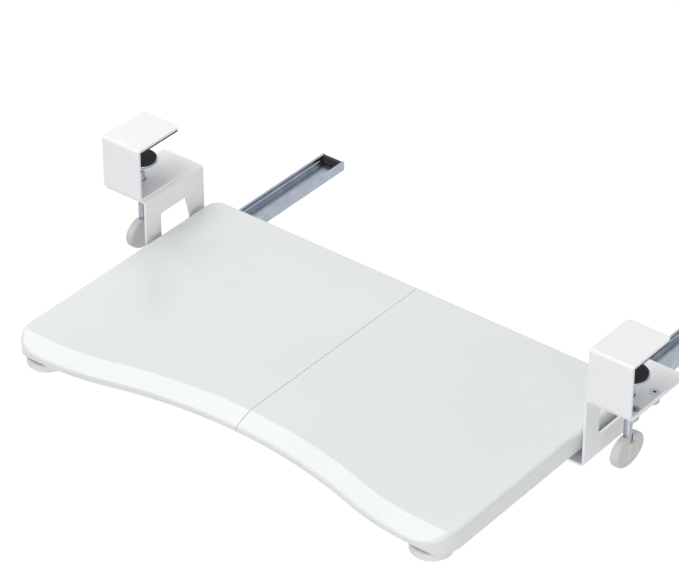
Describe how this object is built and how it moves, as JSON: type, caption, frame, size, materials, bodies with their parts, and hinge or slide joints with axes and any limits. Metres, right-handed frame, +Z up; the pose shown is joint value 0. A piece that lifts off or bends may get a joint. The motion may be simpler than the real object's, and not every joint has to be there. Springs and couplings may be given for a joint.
{
  "type": "keyboard tray",
  "caption": "Under-desk keyboard tray: a bevelled board in halves slides on ball rails that hang from C-clamps, tightened on the desk edge by wing screws.",
  "frame": {"origin": "middle of the desk's top front edge, level with the undersides of the clamps' jaw pads and in line with the insides of their front plates", "axes": "+X to the right along the desk's edge, +Y back under the desk, +Z up"},
  "size_m": [0.611, 0.4575, 0.1351],
  "materials": {
    "clamp_coat": "white powder coat, fine texture, satin",
    "tray_film": "white film pressed over a board, semi-gloss",
    "knob_plastic": "pale warm grey moulded plastic",
    "foot_plastic": "off-white moulded plastic",
    "zinc_plate": "blue zinc plate",
    "polished_steel": "polished bearing steel",
    "dark_rubber": "black rubber sheet",
    "beech_wood": "fluted beech dowel"
  },
  "bodies": {
    "desk_frame": {"left_c_clamp": "clamp_coat", "left_jaw_pad": "dark_rubber", "left_hanger": "clamp_coat", "left_clamp_bolts": "zinc_plate", "left_cap_nuts": "zinc_plate", "left_screw_nut": "zinc_plate", "left_outer_rail": "zinc_plate", "left_rail_bolts": "zinc_plate", "left_rail_nuts": "zinc_plate", "left_rail_bumper": "dark_rubber", "right_c_clamp": "clamp_coat", "right_jaw_pad": "dark_rubber", "right_hanger": "clamp_coat", "right_clamp_bolts": "zinc_plate", "right_cap_nuts": "zinc_plate", "right_screw_nut": "zinc_plate", "right_outer_rail": "zinc_plate", "right_rail_bolts": "zinc_plate", "right_rail_nuts": "zinc_plate", "right_rail_bumper": "dark_rubber"},
    "tray": {"left_tray_panel": "tray_film", "left_corner_foot": "foot_plastic", "left_foot_screw": "zinc_plate", "left_inner_rail": "zinc_plate", "left_tray_rail_screws": "zinc_plate", "right_tray_panel": "tray_film", "right_corner_foot": "foot_plastic", "right_foot_screw": "zinc_plate", "right_inner_rail": "zinc_plate", "right_tray_rail_screws": "zinc_plate", "front_joining_bar": "zinc_plate", "rear_joining_bar": "zinc_plate", "joining_screws": "zinc_plate", "seam_dowels": "beech_wood"},
    "left_cage": {"left_ball_cage": "zinc_plate", "left_slide_balls": "polished_steel"},
    "left_pressure_foot": {"left_pressure_disc": "zinc_plate", "left_disc_pad": "dark_rubber"},
    "left_screw": {"left_clamp_screw": "zinc_plate", "left_clamp_knob": "knob_plastic"},
    "right_cage": {"right_ball_cage": "zinc_plate", "right_slide_balls": "polished_steel"},
    "right_pressure_foot": {"right_pressure_disc": "zinc_plate", "right_disc_pad": "dark_rubber"},
    "right_screw": {"right_clamp_screw": "zinc_plate", "right_clamp_knob": "knob_plastic"}
  },
  "joints": [
    {"name": "tray_slide", "type": "slide", "parent": "desk_frame", "child": "tray", "axis": [0, 1, 0], "range_m": [0, 0.154]},
    {"name": "left_cage_slide", "type": "slide", "parent": "desk_frame", "child": "left_cage", "axis": [0, 1, 0], "range_m": [0, 0.077]},
    {"name": "left_disc_lift", "type": "slide", "parent": "desk_frame", "child": "left_pressure_foot", "axis": [0, 0, 1], "range_m": [-0.01375, 0.02375]},
    {"name": "left_screw_turn", "type": "hinge", "parent": "left_pressure_foot", "child": "left_screw", "pos_m": [-0.2845, 0.0277, -0.0523], "axis": [0, 0, 1], "range_deg": [-3960, 6840]},
    {"name": "right_cage_slide", "type": "slide", "parent": "desk_frame", "child": "right_cage", "axis": [0, 1, 0], "range_m": [0, 0.077]},
    {"name": "right_disc_lift", "type": "slide", "parent": "desk_frame", "child": "right_pressure_foot", "axis": [0, 0, 1], "range_m": [-0.01375, 0.02375]},
    {"name": "right_screw_turn", "type": "hinge", "parent": "right_pressure_foot", "child": "right_screw", "pos_m": [0.2845, 0.0277, -0.0523], "axis": [0, 0, 1], "range_deg": [-3960, 6840]}
  ],
  "couplings": [
    {"joint": "left_cage_slide", "follows": "tray_slide", "ratio": 0.5},
    {"joint": "left_screw_turn", "follows": "left_disc_lift", "rad_per_m": 5026.5},
    {"joint": "right_cage_slide", "follows": "tray_slide", "ratio": 0.5},
    {"joint": "right_screw_turn", "follows": "right_disc_lift", "rad_per_m": 5026.5}
  ]
}
